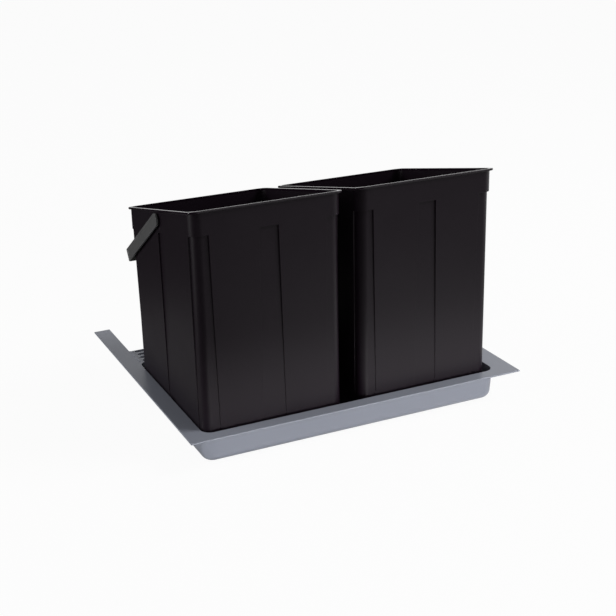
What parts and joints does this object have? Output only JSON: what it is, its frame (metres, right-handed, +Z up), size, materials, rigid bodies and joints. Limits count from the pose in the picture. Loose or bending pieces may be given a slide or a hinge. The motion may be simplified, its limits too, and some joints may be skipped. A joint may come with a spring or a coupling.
{
  "type": "built-in waste bin",
  "caption": "Drawer insert of a flanged plastic tray with lift-out waste buckets that stand in its pan, each with a slanted rim and a swinging carrying handle.",
  "frame": {"origin": "on the underside of the pan, below the middle of the whole tray", "axes": "+X along the front to the right, +Y to the back, +Z up"},
  "size_m": [0.568, 0.5, 0.3887],
  "materials": {
    "grey_plastic": "satin",
    "black_plastic": "satin",
    "handle_plastic": "satin"
  },
  "bodies": {
    "tray": {"tray": "grey_plastic"},
    "left_bucket": {"left_bucket": "black_plastic"},
    "right_bucket": {"right_bucket": "black_plastic"},
    "left_bail": {"left_bail": "handle_plastic"},
    "right_bail": {"right_bail": "handle_plastic"}
  },
  "joints": [
    {"name": "left_bucket_lift", "type": "slide", "parent": "tray", "child": "left_bucket", "axis": [0, 0, 1], "range_m": [0, 0.1]},
    {"name": "right_bucket_lift", "type": "slide", "parent": "tray", "child": "right_bucket", "axis": [0, 0, 1], "range_m": [0, 0.1]},
    {"name": "left_bail_swing", "type": "hinge", "parent": "left_bucket", "child": "left_bail", "pos_m": [-0.1391, -0.079, 0.34097], "axis": [1, 0, 0], "range_deg": [0, 247.6]},
    {"name": "right_bail_swing", "type": "hinge", "parent": "right_bucket", "child": "right_bail", "pos_m": [0.1213, -0.079, 0.34097], "axis": [1, 0, 0], "range_deg": [0, 247.6]}
  ]
}
